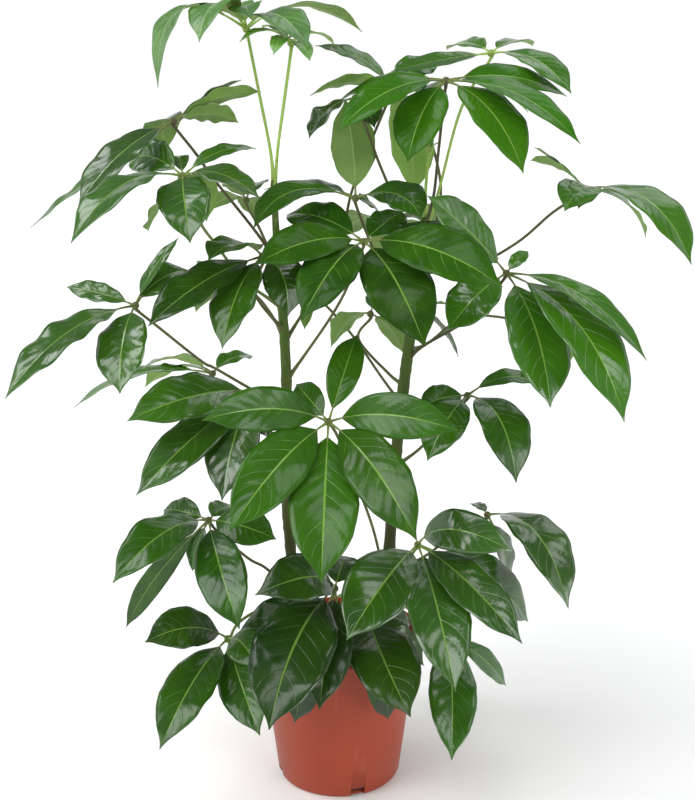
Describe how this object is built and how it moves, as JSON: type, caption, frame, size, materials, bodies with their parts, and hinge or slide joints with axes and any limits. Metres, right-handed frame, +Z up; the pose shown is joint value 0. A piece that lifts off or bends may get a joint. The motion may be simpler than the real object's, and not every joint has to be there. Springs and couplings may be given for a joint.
{
  "type": "potted umbrella plant",
  "caption": "Umbrella plant with two upright woody stems and drooping palmate fronds, standing in a tapered round nursery pot filled with soil",
  "frame": {"origin": "the middle of the underside of the pot, on the surface that the plant stands on", "axes": "+Z up along the pot's axis; +X to the right and -Y toward the viewer as the picture shows the plant"},
  "size_m": [0.7506, 0.5816, 0.9501],
  "materials": {
    "pot": "satin terracotta-coloured plastic",
    "soil": "loose dark potting mix with bark",
    "stem": "smooth green-brown bark with leaf scars",
    "leaf": "glossy dark green above, matt pale green below",
    "young_leaf": "satin light green"
  },
  "bodies": {
    "root": {"frond_back_left": "leaf", "frond_back_left_upper": "leaf", "frond_back_low": "leaf", "frond_back_middle": "leaf", "frond_back_right": "leaf", "frond_back_top": "leaf", "frond_back_upper": "leaf", "frond_bottom_centre": "leaf", "frond_bottom_front": "leaf", "frond_bottom_left": "leaf", "frond_bottom_right": "leaf", "frond_centre": "leaf", "frond_centre_back": "leaf", "frond_centre_far": "leaf", "frond_centre_left": "leaf", "frond_centre_low_back": "leaf", "frond_front_centre": "leaf", "frond_left_front": "leaf", "frond_left_inner": "leaf", "frond_left_middle": "leaf", "frond_lower_left": "leaf", "frond_lower_right": "leaf", "frond_right_low_back": "leaf", "frond_right_lower": "leaf", "frond_right_middle": "leaf", "frond_right_thin_back": "leaf", "frond_right_upper": "leaf", "frond_top_centre": "leaf", "frond_top_centre_small": "leaf", "frond_top_left": "young_leaf", "frond_top_right": "leaf", "frond_top_right_back": "leaf", "frond_top_sprout": "young_leaf", "frond_top_young": "young_leaf", "frond_upper_left": "leaf", "frond_upper_left_inner": "leaf", "pot": "pot", "soil": "soil", "stem_left": "stem", "stem_right": "stem"}
  },
  "joints": []
}
